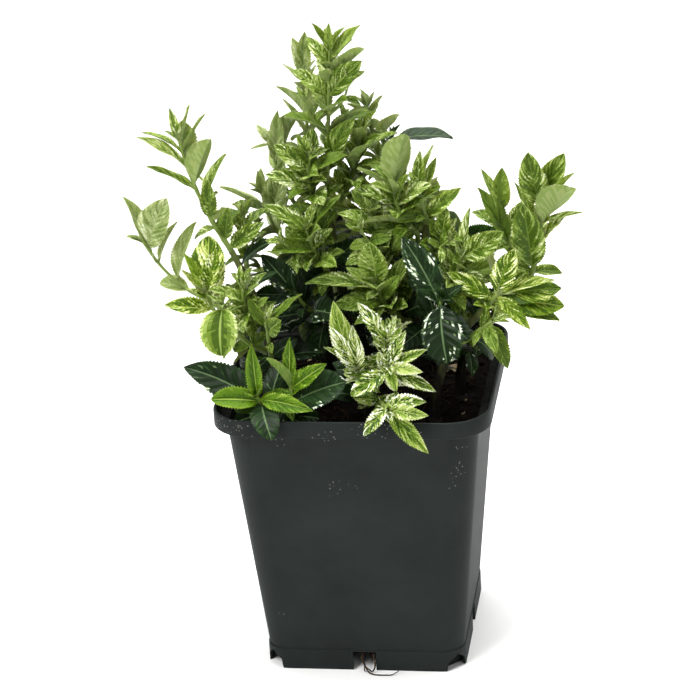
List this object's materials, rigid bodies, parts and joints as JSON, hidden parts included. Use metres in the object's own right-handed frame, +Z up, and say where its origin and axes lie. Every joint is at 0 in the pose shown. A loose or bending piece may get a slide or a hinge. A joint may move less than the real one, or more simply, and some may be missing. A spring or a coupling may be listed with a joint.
{
  "type": "potted evergreen shrub",
  "caption": "Young wintercreeper euonymus with leaves mottled in green and cream, several woody stems and leafy shoots, in a square black nursery pot with a slotted foot.",
  "frame": {"origin": "on the ground under the middle of the pot", "axes": "+Z up; -Y is the pot side that the picture shows; +X to the right in the picture"},
  "size_m": [0.1493, 0.1012, 0.2117],
  "materials": {
    "black_plastic": "thin matte black pot plastic",
    "peat": "moist crumbly peat",
    "bark": "green-brown young bark",
    "leaves_fresh": "smooth leathery leaves, fresh",
    "leaves_pale": "smooth leathery leaves, pale",
    "leaves_cream": "smooth leathery leaves, cream",
    "leaves_gold": "smooth leathery leaves, gold",
    "leaves_lime": "smooth leathery leaves, lime",
    "leaves_deep": "smooth leathery leaves, deep"
  },
  "bodies": {
    "root": {"pot": "black_plastic", "root_ball": "peat", "stem_centre": "bark", "stem_left": "bark", "stem_front_left": "bark", "stem_front": "bark", "stem_right": "bark", "stem_low_right": "bark", "stem_far_right": "bark", "stem_back_left": "bark", "stem_back_right": "bark", "shoot_leader": "leaves_fresh", "shoot_behind_leader": "leaves_pale", "shoot_back_left_high": "leaves_pale", "shoot_back_left_low": "leaves_pale", "shoot_left_long": "leaves_fresh", "shoot_left_inner": "leaves_fresh", "shoot_left_low": "leaves_pale", "shoot_left_cream": "leaves_gold", "shoot_left_middle": "leaves_fresh", "shoot_left_foot": "leaves_fresh", "shoot_round_leaf": "leaves_fresh", "shoot_front_left_whorl": "leaves_lime", "shoot_front_left_second": "leaves_lime", "shoot_front_cream_left": "leaves_cream", "shoot_front_cream_high": "leaves_cream", "shoot_front_cream_right": "leaves_cream", "shoot_front_cream_low": "leaves_cream", "shoot_centre_low": "leaves_fresh", "shoot_centre_whorl": "leaves_fresh", "shoot_centre_upper": "leaves_fresh", "shoot_centre_foot": "leaves_deep", "shoot_centre_high": "leaves_fresh", "shoot_right_inner": "leaves_fresh", "shoot_right_broad": "leaves_fresh", "shoot_right_side": "leaves_fresh", "shoot_right_mid": "leaves_fresh", "shoot_right_front": "leaves_fresh", "shoot_dark_right": "leaves_deep", "shoot_right_centre": "leaves_fresh", "shoot_right_low": "leaves_gold", "shoot_right_over_rim": "leaves_fresh", "shoot_far_right_inner": "leaves_fresh", "shoot_far_right": "leaves_fresh", "shoot_back_right_high": "leaves_pale", "shoot_back_right_dark": "leaves_deep", "shoot_back_right_low": "leaves_deep", "shoot_back_a": "leaves_fresh", "shoot_back_b": "leaves_cream", "shoot_back_c": "leaves_fresh", "shoot_back_d": "leaves_cream", "shoot_back_e": "leaves_fresh", "shoot_back_f": "leaves_fresh", "shoot_right_back": "leaves_fresh", "shoot_left_back": "leaves_pale"}
  },
  "joints": []
}
